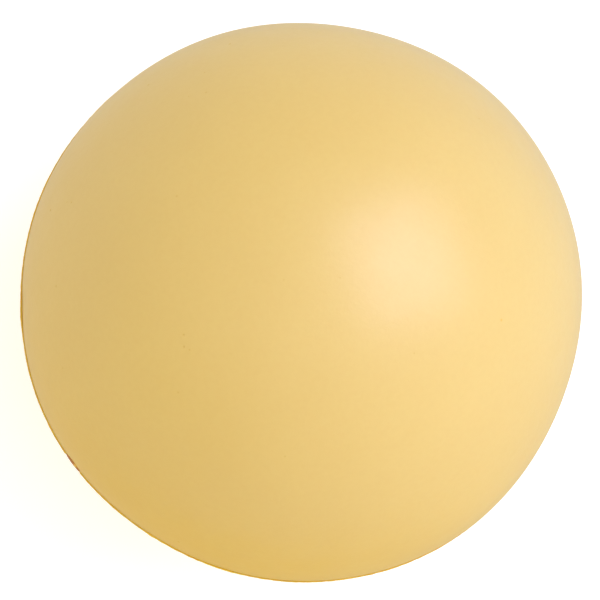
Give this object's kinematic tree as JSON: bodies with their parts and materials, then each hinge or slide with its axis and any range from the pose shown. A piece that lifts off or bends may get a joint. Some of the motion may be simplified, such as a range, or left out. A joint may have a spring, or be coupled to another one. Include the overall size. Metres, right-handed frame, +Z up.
{
  "type": "stress ball",
  "caption": "Plain round squeeze ball: a matte moulded skin in two half shells over a soft foam core, springing back when pressed.",
  "frame": {"origin": "centre of the small flat patch that the ball rests on, on the ground", "axes": "+Z up through the ball's centre and the middles of both half shells, so the parting plane is level; +X and +Y are level, and the fill plug lies on the parting line between -X and -Y"},
  "size_m": [0.0632, 0.0632, 0.0623],
  "materials": {
    "skin": "matte pale butter yellow, fine even grain, a few pinholes",
    "bond": "satin amber adhesive",
    "plug": "satin, reddish brown",
    "foam": "open-celled flexible polyurethane foam"
  },
  "bodies": {
    "base": {"lower_skin": "skin", "seam_bond": "bond", "fill_plug": "plug", "foam_core": "foam"},
    "crown": {"upper_skin": "skin"}
  },
  "joints": [
    {"name": "squeeze", "type": "slide", "parent": "base", "child": "crown", "axis": [0, 0, -1], "range_m": [0, 0.022], "stiffness_N_per_m": 1200, "deforming": ["upper_skin", "lower_skin", "seam_bond", "fill_plug", "foam_core"]}
  ]
}
